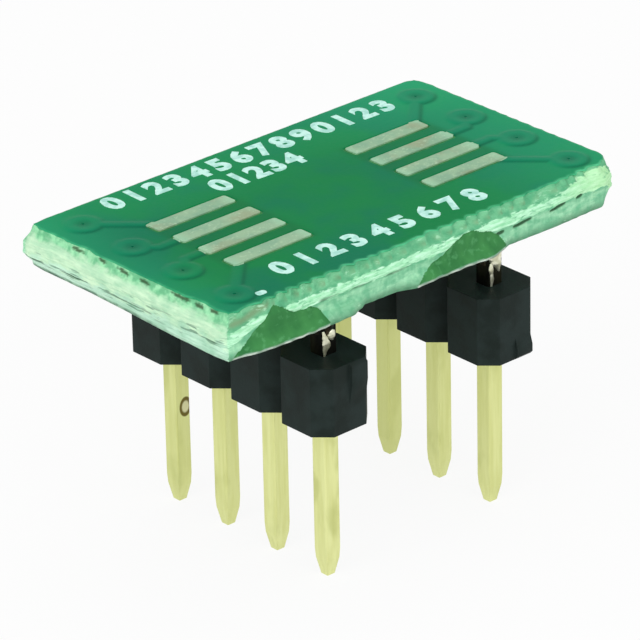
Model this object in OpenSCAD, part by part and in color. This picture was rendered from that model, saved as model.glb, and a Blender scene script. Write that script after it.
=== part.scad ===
// An adapter board that carries a small eight-lead chip on eight lands and brings its leads out
// to two rows of square pins, 0.3 in apart, for a socket or a plug-in prototyping board.
// The board stands on its pin tips at z = 0, with its long side along X. All sizes are in mm.

/* [Board] */
// Length of the board between the lines where it was scored and snapped off
board_l = 17.78; // [17.3:0.02:24]
// Width of the board between its score lines
board_w = 10.16; // [9.7:0.02:16]
// Thickness of the glass-epoxy core
core_t = 1.5; // [1.2:0.1:2.4]
// Depth of the V-shaped score cut into each face of the core
score_depth = 0.5; // [0.2:0.05:0.6]
// Half of the score's width at the face, which sets the mask edge back from the score line
score_setback = 0.2; // [0.12:0.02:0.3]
// How far the snapped glass plies wander on each side of the score line
tear_depth = 0.08; // [0.02:0.01:0.15]
// Length of one jag of the snapped edge
tear_step = 0.7; // [0.4:0.1:1.5]

/* [Copper and mask] */
// Thickness of the copper on each face
copper_t = 0.035; // [0.018:0.001:0.07]
// Thickness of the tin coat that stands on a land
tin_t = 0.015; // [0.005:0.005:0.03]
// Thickness of the green mask, over bare core and over copper alike
mask_t = 0.025; // [0.01:0.005:0.05]
// Clearance round a land or a pad where the mask stays open
mask_gap = 0.07; // [0.03:0.01:0.12]
// How far the mask spreads past the side of a covered trace
mask_skirt = 0.05; // [0.02:0.01:0.1]
// How far the mask edge is chipped back from the score in places
chip_depth = 0.06; // [0.02:0.01:0.1]

/* [Chip lands] */
// Distance between the centres of neighbouring lands
land_pitch = 1.27; // [1:0.01:1.6]
// Distance from the line of the through holes to the outer ends of the lands
land_inset = 1.44; // [0.94:0.01:2.7]
// Length of one land
land_l = 3.43; // [2:0.01:3.8]
// Width of one land
land_w = 0.62; // [0.4:0.02:0.8]
// Corner radius of a land
land_r = 0.1; // [0.03:0.01:0.18]

/* [Traces and vias] */
// Distance from the score line at each end to the line of the through holes
via_inset = 1.27; // [1.1:0.01:1.9]
// Diameter of the copper ring round a through hole
via_ring_d = 1.3; // [0.8:0.05:1.4]
// Drilled diameter of a through hole
via_drill_d = 0.5; // [0.4:0.05:0.7]
// Thickness of the copper that lines a through hole
plating_t = 0.03; // [0.02:0.005:0.05]
// Diameter of the mouth that the mask leaves over a through hole
via_mouth_d = 0.28; // [0.1:0.02:0.3]
// Width of the traces on the chip side
top_trace_w = 0.34; // [0.15:0.01:0.38]
// Width of the traces on the pin side
bottom_trace_w = 0.5; // [0.2:0.02:0.8]
// Diameter of the solder pad over each pin
pad_d = 1.5; // [1.1:0.05:1.8]

/* [Pin strips] */
// Distance between the two rows of pins
row_span = 7.62; // [6.8:0.02:10.16]
// Distance between the pins of a row
pin_pitch = 2.54; // [2.3:0.02:2.7]
// Width of the moulded strip across the row
strip_w = 2.54; // [2.2:0.02:3.2]
// Height of the moulded strip
strip_h = 2.5; // [2:0.1:4]
// Setback of the chamfered corners, which leaves the notches between the blocks
strip_chamfer = 0.55; // [0.2:0.05:0.7]
// Clear height between the strip and the solder pads
strip_drop = 1.8; // [1.2:0.1:4]
// How far the torn ridge stands out of the snapped end of a strip
ridge_t = 0.12; // [0.05:0.01:0.25]
// Height of the ridge on the ends of the left strip, from its top edge down
left_ridge_h = 1.5; // [0.6:0.1:1.8]
// Height of the ridge on the ends of the right strip, from its bottom edge up
right_ridge_h = 0.8; // [0.6:0.1:1.8]

/* [Pins] */
// Side of the square pin
pin_w = 0.64; // [0.5:0.01:0.76]
// Radius along the four edges of the drawn pin wire
pin_edge_r = 0.06; // [0.02:0.01:0.1]
// Length of the pin below the strip
pin_reach = 5.84; // [4:0.02:8]
// Height above the tip at which the pin starts to narrow
pin_taper_l = 1.3; // [1:0.1:2]
// Height of the steep nose at the tip
pin_nose_l = 0.62; // [0.3:0.02:0.9]
// How far each flat has drawn in where the nose starts
pin_waist = 0.04; // [0.01:0.01:0.06]
// Width of the blunt end
pin_tip_w = 0.32; // [0.2:0.02:0.36]

/* [Solder] */
// How far the solder runs along the pin from its pad
solder_h = 1.05; // [0.5:0.05:1.1]
// Thickness of the solder film where it ends on the flats of the pin
solder_film_t = 0.04; // [0.02:0.01:0.08]
// Rim of bare pad left round the solder
solder_rim = 0.04; // [0.02:0.01:0.1]

/* [Hidden] */
$fn = 48;

// Pins in one row. Positions 1 to 4 go down the left row, and 5 to 8 come back up the right row
row_n = 4;
positions = [1 : 2 * row_n];
// Glass plies left in the web between the two scores
ply_n = 3;
// Thickness of the resin bond, through which both of its plies run
bond_t = 0.02;
// How far a cutter reaches past the solid that it cuts
past = 1;

// Heights from the pin tips up
strip_z = pin_reach;
pad_z = strip_z + strip_h + strip_drop;
core_z = pad_z + copper_t;
core_top_z = core_z + core_t;
web_t = core_t - 2 * score_depth;

// Half sizes at the score lines, and of the flat faces inside the grooves
half_l = board_l / 2;
half_w = board_w / 2;
face_half_l = half_l - score_setback;
face_half_w = half_w - score_setback;

// Distances from the middle of the board to the rows of pins and through holes and to the lands
pin_x = row_span / 2;
via_x = half_l - via_inset;
land_x = via_x - land_inset - land_l / 2;
strip_l = row_n * pin_pitch;
strip_flat = strip_w / 2 - strip_chamfer;

// The side that position i is on: -1 for the left row and 1 for the right row
function side(i) = i <= row_n ? -1 : 1;

// Place of position i along its row, in pitches from the middle
function place(i) = i <= row_n ? (row_n + 1) / 2 - i : i - row_n - (row_n + 1) / 2;

function pin_at(i) = [side(i) * pin_x, place(i) * pin_pitch];
function via_at(i) = [side(i) * via_x, place(i) * pin_pitch];
function land_at(i) = [side(i) * land_x, place(i) * land_pitch];

// Where the trace that leaves via i at 45 degrees meets the centre line of its land
function bend_at(i) =
    let (shift = abs(via_at(i)[1] - land_at(i)[1]))
    [via_at(i)[0] - side(i) * shift, land_at(i)[1]];

// How a broken edge wanders at jag n of edge e in ply p, between -1 and 1
function wander(n, e, p) = (sin(137.5 * n + 61 * e + 97 * p) + sin(67.3 * n + 23 * e + 41 * p)) / 2;

// The point at run a along edge e, reach r out from the middle; edges are counted round the board
function edge_point(e, a, r) = e == 0 ? [a, -r] : e == 1 ? [r, a] : e == 2 ? [-a, r] : [-r, -a];

// A rectangle of half sizes hl and hw with jagged edges, which wander by depth about a line set
// back by lean; the four corners stay sharp
function jagged(hl, hw, depth, lean, p) = [
    for (e = [0 : 3])
        let (run = e % 2 == 0 ? hl : hw, reach = e % 2 == 0 ? hw : hl, jags = ceil(2 * run / tear_step))
        for (n = [0 : jags - 1])
            edge_point(e, run * (2 * n / jags - 1), reach + (n == 0 ? 0 : depth * wander(n, e, p) - lean))
];

// One long side of a strip, s being its side: a row of square blocks with chamfered corners
function strip_side(s) = [
    for (k = [0 : row_n - 1])
        let (low = k * pin_pitch - strip_l / 2, high = low + pin_pitch)
        each [[s * strip_flat, low],
              [s * strip_w / 2, low + strip_chamfer],
              [s * strip_w / 2, high - strip_chamfer]]
];

function reversed(list) = [for (n = [len(list) - 1 : -1 : 0]) list[n]];

// Section of the score groove at an edge: its flank rises from the web, at reach, through the face
function groove(reach) = [
    [reach, 0],
    [reach - 2 * score_setback, 2 * score_depth],
    [reach + past, 2 * score_depth],
    [reach + past, 0]
];

// A trace of width w from a to b, with round ends
module run(a, b, w) {
    span = b - a;
    translate(a) circle(d = w);
    translate(b) circle(d = w);
    translate(a) rotate(atan2(span[1], span[0])) translate([0, -w / 2]) square([norm(span), w]);
}

module rounded_rect(l, w, r) {
    square([l - 2 * r, w], center = true);
    square([l, w - 2 * r], center = true);
    for (x = [-1, 1], y = [-1, 1])
        translate([x * (l / 2 - r), y * (w / 2 - r)]) circle(r = r);
}

// Outlines of the copper of position i, each grown by the same amount all round
module land_shape(i, grow = 0) {
    translate(land_at(i)) rounded_rect(land_l + 2 * grow, land_w + 2 * grow, land_r + grow);
}

module top_run_shape(i, grow = 0) {
    translate(via_at(i)) circle(d = via_ring_d + 2 * grow);
    run(via_at(i), bend_at(i), top_trace_w + 2 * grow);
    run(bend_at(i), land_at(i), top_trace_w + 2 * grow);
}

module bottom_run_shape(i, grow = 0) {
    translate(via_at(i)) circle(d = via_ring_d + 2 * grow);
    run(via_at(i), pin_at(i), bottom_trace_w + 2 * grow);
}

module pad_shape(i, grow = 0) {
    translate(pin_at(i)) circle(d = pad_d + 2 * grow);
}

// The bore of via i, run through the whole board
module bore(i, d) {
    translate([each via_at(i), core_z - past]) cylinder(d = d, h = core_t + 2 * past);
}

// The glass-epoxy core: plies that tore apart along different lines, bevelled by the score grooves
// along all four edges of both faces, and drilled for the vias
module laminate() {
    color("#dfe6c8") difference() {
        for (p = [0 : ply_n - 1]) {
            low = p == 0 ? 0 : score_depth + web_t * p / ply_n;
            high = p == ply_n - 1 ? core_t : score_depth + web_t * (p + 1) / ply_n + bond_t;
            translate([0, 0, core_z + low])
                linear_extrude(high - low) polygon(jagged(half_l, half_w, tear_depth, 0, p));
        }
        for (face = [0, 1])
            translate([0, 0, core_z + core_t / 2]) mirror([0, 0, face]) score_cuts();
        for (i = positions) bore(i, via_drill_d);
    }
}

// The four grooves of one face, seen from the middle of the web
module score_cuts() {
    for (turn = [0 : 3])
        translate([0, 0, web_t / 2])
            rotate([90, 0, 90 * turn])
                linear_extrude(2 * (half_l + half_w), center = true)
                    polygon(groove(turn % 2 == 0 ? half_l : half_w));
}

// One film of mask, facing up. Its children are the covered copper with its skirt, the same copper
// bare, and the openings
module mask_film(p) {
    difference() {
        union() {
            linear_extrude(mask_t)
                polygon(jagged(face_half_l, face_half_w, chip_depth / 2, chip_depth / 2, p));
            linear_extrude(copper_t + mask_t) children(0);
        }
        translate([0, 0, -past]) linear_extrude(past + copper_t) children(1);
        translate([0, 0, -past]) linear_extrude(2 * past) {
            children(2);
            for (i = positions) translate(via_at(i)) circle(d = via_mouth_d);
        }
    }
}

module mask_top() {
    color("#1f8a58") translate([0, 0, core_top_z]) mask_film(ply_n) {
        for (i = positions) top_run_shape(i, mask_skirt);
        for (i = positions) top_run_shape(i);
        for (i = positions) land_shape(i, mask_gap);
    }
}

module mask_bottom() {
    color("#1f8a58") translate([0, 0, core_z]) mirror([0, 0, 1]) mask_film(ply_n + 1) {
        for (i = positions) bottom_run_shape(i, mask_skirt);
        for (i = positions) bottom_run_shape(i);
        for (i = positions) pad_shape(i, mask_gap);
    }
}

// Connection i in one piece of copper: land, trace and ring on top, the lining of the via, and
// ring, trace and solder pad underneath; the bare land stands proud of its trace by its tin
module net(i) {
    color("#c8c49a") difference() {
        union() {
            translate([0, 0, core_top_z]) {
                linear_extrude(copper_t) top_run_shape(i);
                linear_extrude(copper_t + tin_t) land_shape(i);
            }
            translate([0, 0, pad_z]) linear_extrude(copper_t) {
                pad_shape(i);
                bottom_run_shape(i);
            }
            translate([each via_at(i), pad_z]) cylinder(d = via_drill_d, h = core_t + 2 * copper_t);
        }
        bore(i, via_drill_d - 2 * plating_t);
    }
}

// A moulded strip of blocks, snapped off a longer one at both ends, with holes that grip its pins;
// s is -1 for the left row and 1 for the right row
module strip(s) {
    color("#1d2323") translate([s * pin_x, 0, strip_z]) difference() {
        union() {
            linear_extrude(strip_h)
                polygon(concat(strip_side(1), [[strip_flat, strip_l / 2], [-strip_flat, strip_l / 2]],
                               reversed(strip_side(-1))));
            for (e = [0, 1]) mirror([0, e, 0])
                if (s < 0) translate([0, 0, strip_h]) mirror([0, 0, 1]) end_ridge(left_ridge_h);
                else end_ridge(right_ridge_h);
        }
        for (k = [0 : row_n - 1])
            translate([0, (k + 0.5) * pin_pitch - strip_l / 2, -past])
                linear_extrude(strip_h + 2 * past) pin_section();
    }
}

// The ridge that snapping leaves on half of an end face, h high and sloping back at its far side
module end_ridge(h) {
    translate([0, strip_l / 2, 0])
        rotate([90, 0, 90]) linear_extrude(strip_flat)
            polygon([[0, 0], [ridge_t, ridge_t], [ridge_t, h / 2], [0, h]]);
}

module pin_section() {
    rounded_rect(pin_w, pin_w, pin_edge_r);
}

// The blunt tip seen square to a flat: a steep nose, then a slow taper up to the full width
module pin_narrowing() {
    flank = [[pin_tip_w / 2, 0], [pin_w / 2 - pin_waist, pin_nose_l], [pin_w / 2, pin_taper_l],
             [pin_w, pin_taper_l], [pin_w, pad_z + past]];
    rotate([90, 0, 0]) linear_extrude(2 * pin_w, center = true)
        polygon(concat(flank, [for (p = reversed(flank)) [-p[0], p[1]]]));
}

// A square pin of drawn wire with soft edges, narrowed on all four sides at its tip; its plain
// upper end butts on the solder pad
module pin(i) {
    color("#e6dd9a") translate(pin_at(i)) intersection() {
        linear_extrude(pad_z) pin_section();
        pin_narrowing();
        rotate(90) pin_narrowing();
    }
}

// The joint between pin i and its pad: a hollow-sided cone that runs out on the flats of the pin
module solder(i) {
    foot_r = pad_d / 2 - solder_rim;
    film_r = pin_w / 2 + solder_film_t;
    flare = foot_r - film_r;
    // The circle that touches the film upright at its end and passes through the edge of the foot
    curve_r = (pow(flare, 2) + pow(solder_h, 2)) / (2 * flare);
    color("#d9d9cf") translate([each pin_at(i), pad_z]) difference() {
        rotate_extrude() difference() {
            translate([0, -solder_h]) square([foot_r, solder_h]);
            translate([film_r + curve_r, -solder_h]) circle(r = curve_r);
        }
        translate([0, 0, -solder_h - past]) linear_extrude(solder_h + 2 * past) pin_section();
    }
}

laminate();
mask_top();
mask_bottom();
net(1);  // net_1
net(2);  // net_2
net(3);  // net_3
net(4);  // net_4
net(5);  // net_5
net(6);  // net_6
net(7);  // net_7
net(8);  // net_8
strip(-1);  // strip_left
strip(1);  // strip_right
pin(1);  // pin_1
pin(2);  // pin_2
pin(3);  // pin_3
pin(4);  // pin_4
pin(5);  // pin_5
pin(6);  // pin_6
pin(7);  // pin_7
pin(8);  // pin_8
solder(1);  // solder_1
solder(2);  // solder_2
solder(3);  // solder_3
solder(4);  // solder_4
solder(5);  // solder_5
solder(6);  // solder_6
solder(7);  // solder_7
solder(8);  // solder_8
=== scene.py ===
# %% [markdown]
# # A chip adapter board on eight pins
# A small green circuit board stands on two rows of square gold pins. Each piece is put in metres where
# the solids are, with the pin tips at z = 0, the board's long side along X and the rows along Y.

import bmesh
import bpy
import numpy as np
from mathutils import Matrix, Vector


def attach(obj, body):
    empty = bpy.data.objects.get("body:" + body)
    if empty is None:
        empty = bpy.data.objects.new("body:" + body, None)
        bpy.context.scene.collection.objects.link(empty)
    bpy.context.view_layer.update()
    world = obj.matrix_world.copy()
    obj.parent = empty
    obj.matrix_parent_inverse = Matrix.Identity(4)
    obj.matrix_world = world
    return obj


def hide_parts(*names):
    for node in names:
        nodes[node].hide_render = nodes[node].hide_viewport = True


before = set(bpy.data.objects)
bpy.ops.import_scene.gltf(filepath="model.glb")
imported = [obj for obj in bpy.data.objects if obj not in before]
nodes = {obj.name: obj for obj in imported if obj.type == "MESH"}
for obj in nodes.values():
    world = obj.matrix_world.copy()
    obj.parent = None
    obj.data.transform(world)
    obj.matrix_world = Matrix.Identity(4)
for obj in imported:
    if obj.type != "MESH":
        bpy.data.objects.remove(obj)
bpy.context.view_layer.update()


def placed(name, data):
    """A new object in the scene."""
    item = bpy.data.objects.new(name, data)
    bpy.context.scene.collection.objects.link(item)
    return item


# %% [markdown]
# ## Camera
# The view comes first, because every later choice is judged in it. The real camera was long and
# stood at the front left, a quarter of a right angle up. Its place is a point on the object, a
# distance, and three angles; the small sideways offsets are the framing of the picture.

# %% Point the camera
MM = 0.001
TURN, RISE, ROLL = np.radians((-41.84, 25.73, -1.23))
AIM = np.array((0, 0, 6.70))
ASIDE, ABOVE, AWAY = 0.389, -0.160, 173.6
FOCAL, FILM = 285.85, 36

back = np.array((np.sin(TURN) * np.cos(RISE), -np.cos(TURN) * np.cos(RISE), np.sin(RISE)))
level = np.array((np.cos(TURN), np.sin(TURN), 0))
rise = np.cross(back, level)
right = np.cos(ROLL) * level + np.sin(ROLL) * rise
up = np.cos(ROLL) * rise - np.sin(ROLL) * level
place = (AIM - ASIDE * right - ABOVE * up + AWAY * back) * MM

lens = bpy.data.cameras.new("camera")
lens.lens, lens.sensor_width = FOCAL, FILM
lens.clip_start, lens.clip_end = 0.01, 5
camera = placed("camera", lens)
camera.matrix_world = Matrix.Translation(place) @ Matrix(np.stack((right, up, back), 1)).to_4x4()
bpy.context.scene.camera = camera
print("camera at", place.round(4))

# %% [markdown]
# ## A shorthand for shader maths
# A material is a graph of nodes, and long graphs are hard to read as calls. Here one small class
# holds a node's output, so that sums of outputs can be written as ordinary expressions, and one
# method makes every other node from its settings and the values or links of its sockets.

# %% Tones and graphs
class Tone:
    """One output of a shader node. An expression of tones and numbers adds its Math nodes."""

    def __init__(self, graph, socket):
        self.graph, self.socket = graph, socket

    def math(self, operation, *values):
        return self.graph.node("Math", {"operation": operation}, dict(enumerate(values)))

    def __add__(self, other):
        return self.math("ADD", self, other)

    def __sub__(self, other):
        return self.math("SUBTRACT", self, other)

    def __rsub__(self, other):
        return self.math("SUBTRACT", other, self)

    def __mul__(self, other):
        return self.math("MULTIPLY", self, other)

    __radd__, __rmul__ = __add__, __mul__

    def size(self):
        return self.math("ABSOLUTE", self)

    def between(self, low, high):
        """0 at low, 1 at high, and a soft step in between."""
        return self.graph.node("MapRange", {"interpolation_type": "SMOOTHSTEP"},
                               {0: self, 1: low, 2: high})


class Graph:
    """A tree of shader nodes under construction."""

    def __init__(self, tree):
        self.tree = tree

    def node(self, kind, settings, inputs, output=0):
        """Adds any node: its settings first, then the value or the link of each socket."""
        node = self.tree.nodes.new("ShaderNode" + kind)
        for key, value in settings.items():
            setattr(node, key, value)
        for key, value in inputs.items():
            if isinstance(value, Tone):
                self.tree.links.new(value.socket, node.inputs[key])
            else:
                node.inputs[key].default_value = value
        return Tone(self, node.outputs[output])

    def seen(self):
        """1 for a ray from the camera, or one that a mirror or glass sends on; 0 for other rays."""
        camera, mirror, glass = (self.node("LightPath", {}, {}, "Is " + kind + " Ray")
                                 for kind in ("Camera", "Glossy", "Transmission"))
        return camera.math("MAXIMUM", camera, mirror.math("MAXIMUM", mirror, glass))

# %% Paints
def screen(red, green, blue):
    """A colour as a screen shows it, from 0 to 255, made linear: below 10.3 it is the value over
    255 and 12.92, and above, that value plus 0.055, over 1.055, to the power of 2.4."""
    value = np.array((red, green, blue)) / 255
    linear = np.where(value <= 0.04045, value / 12.92, ((value + 0.055) / 1.055) ** 2.4)
    return [*map(float, linear), 1.0]


class Paint(Graph):
    """A material under construction, with one Principled surface."""

    def __init__(self, name, roughness, **constants):
        self.material = bpy.data.materials.new(name)
        self.material.use_nodes = True
        super().__init__(self.material.node_tree)
        self.surface = self.tree.nodes["Principled BSDF"]
        self.set("Roughness", roughness)
        for key, value in constants.items():
            self.set(key.replace("_", " "), value)

    def set(self, key, value):
        socket = self.surface.inputs[key]
        if isinstance(value, Tone):
            self.tree.links.new(value.socket, socket)
        else:
            socket.default_value = value

    def mix(self, first, second, share):
        """The first colour where share is 0, the second where it is 1. Three numbers are a colour as a
        screen shows it."""
        first, second = (screen(*value) if isinstance(value, tuple) else value for value in (first, second))
        return self.node("Mix", {"data_type": "RGBA"}, {0: share, 6: first, 7: second}, 2)

    def coats(self, colour, *coats):
        """A first colour and the coats over it, each with its colour and its share."""
        for coat, share in coats:
            colour = self.mix(colour, coat, share)
        return colour

    def place(self, axis):
        """The object's own x, y or z at each point, in millimetres."""
        spot = self.node("TexCoord", {}, {}, "Object")
        return self.node("SeparateXYZ", {}, {0: spot}, axis) * (1 / MM)

    def noise(self, per_mm, detail=2.0, stretch=(1, 1, 1)):
        """Cloudy noise from about 0.3 to 0.7, with per_mm clouds to a millimetre of the object."""
        spot = self.node("TexCoord", {}, {}, "Object")
        scale = [per_mm / MM / s for s in stretch]
        moved = self.node("Mapping", {}, {"Vector": spot, "Scale": scale})
        return self.node("TexNoise", {}, {"Vector": moved, "Scale": 1.0, "Detail": detail})

    def painted(self, name):
        """The red, green and blue of a colour that was worked out on the mesh."""
        colour = self.node("Attribute", {"attribute_name": name}, {})
        return [self.node("SeparateColor", {}, {"Color": colour}, n) for n in range(3)]

    def bump(self, height, depth_mm):
        """Small relief: a height of 1 stands depth_mm above a height of 0."""
        relief = self.node("Bump", {}, {"Strength": 1.0, "Distance": depth_mm * MM, "Height": height})
        self.set("Normal", relief)

# %% [markdown]
# ## Floor and light
# The object stands on a plain white sheet. Soft light comes from all round, with large panels at the
# left, in front and above. Together they light a surface at about level 1, so that a colour renders
# about as it is written. What the camera or a mirror sees of the sheet and the sky is mostly plain
# white of its own, so the shadow on the sheet stays but is light.

# %% Sheet, sky and panels
SKY = 0.6
SHEET = 0.8
REACH = 0.32

sheet_mesh = bpy.data.meshes.new("sheet")
sheet_mesh.from_pydata([(-SHEET, -SHEET, 0), (SHEET, -SHEET, 0), (SHEET, SHEET, 0), (-SHEET, SHEET, 0)],
                       [], [(0, 1, 2, 3)])
sheet = placed("sheet", sheet_mesh)

paper = Paint("white_sheet", 0.9, Base_Color=(0.92, 0.92, 0.92, 1), Specular_IOR_Level=0.0)
white = paper.node("Emission", {}, {"Color": (1, 1, 1, 1), "Strength": 1.0})
lit = Tone(paper, paper.surface.outputs[0])
sheet_face = paper.node("MixShader", {}, {0: paper.seen() * 0.9, 1: lit, 2: white})
paper.tree.links.new(sheet_face.socket, paper.tree.nodes["Material Output"].inputs[0])
sheet_mesh.materials.append(paper.material)

sky = bpy.data.worlds.new("sky")
sky.use_nodes = True
bpy.context.scene.world = sky
air = Graph(sky.node_tree)
glow = air.node("MapRange", {}, {"Value": air.seen(), "To Min": SKY})
air.tree.nodes["Background"].inputs["Color"].default_value = (1, 1, 1, 1)
air.tree.links.new(glow.socket, air.tree.nodes["Background"].inputs["Strength"])
bpy.context.scene.view_settings.view_transform = "Standard"


def panel(name, toward, size, share):
    """A square light that faces the middle of the object. Light of strength P at distance r gives a
    white surface that faces it the brightness P / (pi r)^2, so P is that share times (pi r)^2."""
    light = bpy.data.lights.new(name, "AREA")
    light.size = size
    light.energy = share * (np.pi * REACH) ** 2
    direction = Vector(toward).normalized()
    lamp = placed(name, light)
    lamp.rotation_euler = direction.to_track_quat("Z", "Y").to_euler()
    lamp.location = direction * REACH + Vector(AIM) * MM


panel("left_panel", (-0.85, -0.2, 0.55), 0.24, 0.36)
panel("front_panel", (-0.1, -0.9, 0.4), 0.24, 0.32)
panel("top_panel", (0.15, 0.1, 1.0), 0.30, 0.12)

# %% [markdown]
# ## Sizes of the board
# These are the model's own sizes in millimetres. The board was cut part of the way through from both
# faces with a V-shaped tool and then snapped, so its edge has a sloping flank above and below, and a
# torn web between them. The chip's eight leads sit on eight lands; a trace under the green film
# takes each to a plated hole near the end, and another trace underneath goes on to its pin.

# %% Name the sizes
HALF_L, HALF_W = 8.89, 5.08
CORE_Z, CORE_T = 10.175, 1.5
SCORE, SETBACK = 0.5, 0.2
WEB_FOOT, WEB_TOP = 0.42, 1.12
FACE_L, FACE_W = HALF_L - SETBACK, HALF_W - SETBACK
COPPER_T, FILM_T = 0.035, 0.025
PITCH, PIN_X, VIA_X = 2.54, 3.81, 7.62
LAND_PITCH, LAND_X, LAND_L, LAND_W, LAND_R = 1.27, 4.465, 3.43, 0.62, 0.1
RING_R, DRILL_R, MOUTH_R, PAD_R = 0.65, 0.25, 0.05, 0.75
TRACE_W, LOWER_TRACE_W, GAP = 0.34, 0.5, 0.07

ends = np.repeat((-1, 1), 4)
steps = np.tile((1.5, 0.5, -0.5, -1.5), 2)
vias = np.stack((ends * VIA_X, steps * PITCH), 1)
pins = np.stack((ends * PIN_X, steps * PITCH), 1)
lands = np.stack((ends * LAND_X, steps * LAND_PITCH), 1)
bends = np.stack((vias[:, 0] - ends * np.abs(vias[:, 1] - lands[:, 1]), lands[:, 1]), 1)
print("holes at", vias[:4].tolist())

# %% [markdown]
# ## Noise and distances
# A snapped edge and a poured film are irregular, and both are worked out as whole arrays. Two kinds
# of function do most of the work: smooth seeded noise, and the distance from each point to the
# outline of a piece of copper, which is below 0 on the copper.

# %% Noise, steps and distances
def smooth(value):
    """A soft step: 0 below 0, 1 above 1, and 3 v^2 - 2 v^3 in between."""
    value = np.clip(value, 0, 1)
    return value * value * (3 - 2 * value)


def wander(u, v, seed, octaves=1, around=256):
    """Smooth noise from -1 to 1: random numbers on whole values of u and v, blended by soft steps.
    Each further octave is half as large and twice as fine. In u it comes round again after
    `around` steps, which closes the noise round the board."""
    total, weight = 0, 0
    for octave in range(octaves):
        fine = 2 ** octave
        wide = around * fine
        table = np.random.default_rng(seed + octave).uniform(-1, 1, (wide, 64))
        a, b = u * fine, v * fine
        i, j = np.floor(a).astype(int), np.floor(b).astype(int)
        s, t = smooth(a - i), smooth(b - j)
        low, high = (table[i % wide, k % 64] * (1 - s) + table[(i + 1) % wide, k % 64] * s
                     for k in (j, j + 1))
        total = total + (low * (1 - t) + high * t) / fine
        weight += 1 / fine
    return total / weight


def to_line(x, y, a, b):
    """Distance to the straight line from a to b: the nearest place is the point's shadow on it."""
    span = b - a
    t = np.clip(((x - a[0]) * span[0] + (y - a[1]) * span[1]) / (span @ span), 0, 1)
    return np.hypot(x - a[0] - t * span[0], y - a[1] - t * span[1])


def to_disc(x, y, centre, radius):
    """Distance to a disc: that to its centre, less its radius."""
    return np.hypot(x - centre[0], y - centre[1]) - radius


def to_tablet(x, y, centre, half_l, half_w, radius):
    """Distance to a rectangle with rounded corners: that to the smaller rectangle through the
    centres of the corners, less their radius."""
    px, py = np.abs(x - centre[0]) - half_l + radius, np.abs(y - centre[1]) - half_w + radius
    return np.hypot(np.maximum(px, 0), np.maximum(py, 0)) + np.minimum(np.maximum(px, py), 0) - radius

# %% [markdown]
# ## From arrays to meshes
# Every new surface is one or more grids of points that numpy works out. Small helpers give the faces
# of grids and closed tubes, turn points and faces into a mesh, and drill it.

# %% Mesh helpers
def grid_faces(rows, columns, closed=False):
    """The four corners of each cell of a grid whose points are counted row by row. A closed grid
    joins its last column to its first."""
    i = np.arange(rows - 1)[:, None]
    j = np.arange(columns if closed else columns - 1)[None, :]
    k = (j + 1) % columns
    corners = (i * columns + j, i * columns + k, (i + 1) * columns + k, (i + 1) * columns + j)
    return np.stack(np.broadcast_arrays(*corners), -1).reshape(-1, 4)


def tube_faces(rows, columns):
    """The faces of a closed tube: its grid, and a flat cap at each end."""
    numbers = list(range(rows * columns))
    return grid_faces(rows, columns, True).tolist() + [numbers[:columns], numbers[-columns:]]


def prism(outline, low, high):
    """The points and faces of an upright prism over a closed outline."""
    points = [np.column_stack((outline, np.full(len(outline), z))) for z in (low, high)]
    return np.concatenate(points), tube_faces(2, len(outline))


def joined(shapes):
    """Several shapes as one: the faces of each count on from the points of those before it."""
    all_points, all_faces, first = [], [], 0
    for points, faces in shapes:
        all_points.append(points)
        all_faces += [[v + first for v in face] for face in faces]
        first += len(points)
    return np.concatenate(all_points), all_faces


def make_piece(name, points_mm, faces, paint, soft=True):
    """A piece at the origin from points in millimetres. Doubles are merged and faces turned out."""
    mesh = bpy.data.meshes.new(name)
    mesh.from_pydata((np.asarray(points_mm) * MM).tolist(), [], faces)
    work = bmesh.new()
    work.from_mesh(mesh)
    bmesh.ops.remove_doubles(work, verts=work.verts, dist=1e-7)
    bmesh.ops.recalc_face_normals(work, faces=work.faces)
    work.to_mesh(mesh)
    work.free()
    mesh.shade_smooth() if soft else mesh.shade_flat()
    mesh.materials.append(paint.material)
    return placed(name, mesh)


def settle(piece, slot, *replaced):
    """Lets a finished piece ride on the board and stand for the nodes that it replaces."""
    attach(piece, "root")
    if replaced:
        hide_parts(*replaced)
    print(piece.name, len(piece.data.polygons), "faces")


def points_of(mesh):
    """The mesh's points in millimetres, as three arrays."""
    flat = np.empty(3 * len(mesh.vertices))
    mesh.vertices.foreach_get("co", flat)
    return flat.reshape(-1, 3).T / MM


def paint_points(mesh, name, *channels):
    """Keeps up to three arrays of numbers from 0 to 1 on the points, as one colour."""
    colour = np.ones((len(mesh.vertices), 4))
    for n, channel in enumerate(channels):
        colour[:, n] = np.clip(channel, 0, 1)
    layer = mesh.color_attributes.new(name, "FLOAT_COLOR", "POINT")
    layer.data.foreach_set("color", colour.ravel())


def final_mesh(piece):
    """A new mesh of a piece, as its modifiers or its letters make it."""
    bpy.context.view_layer.update()
    return bpy.data.meshes.new_from_object(piece.evaluated_get(bpy.context.evaluated_depsgraph_get()))


def drill(piece, centres, radius):
    """Cuts round holes down through a closed piece. Each cutter is a prism of 40 sides, and one
    exact Boolean, applied at once, takes them all away."""
    turn = np.linspace(0, 2 * np.pi, 40, endpoint=False)
    ring = np.stack((np.cos(turn), np.sin(turn)), 1) * radius
    cutters = [prism(ring + centre, CORE_Z - 1, CORE_Z + CORE_T + 1) for centre in centres]
    cutter = make_piece("cutter", *joined(cutters), PLAIN)
    cut = piece.modifiers.new("holes", "BOOLEAN")
    cut.operation, cut.solver, cut.object = "DIFFERENCE", "EXACT", cutter
    solid = final_mesh(piece)
    piece.modifiers.clear()
    piece.data = solid
    bpy.data.objects.remove(cutter)


PLAIN = Paint("plain", 0.5)

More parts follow.
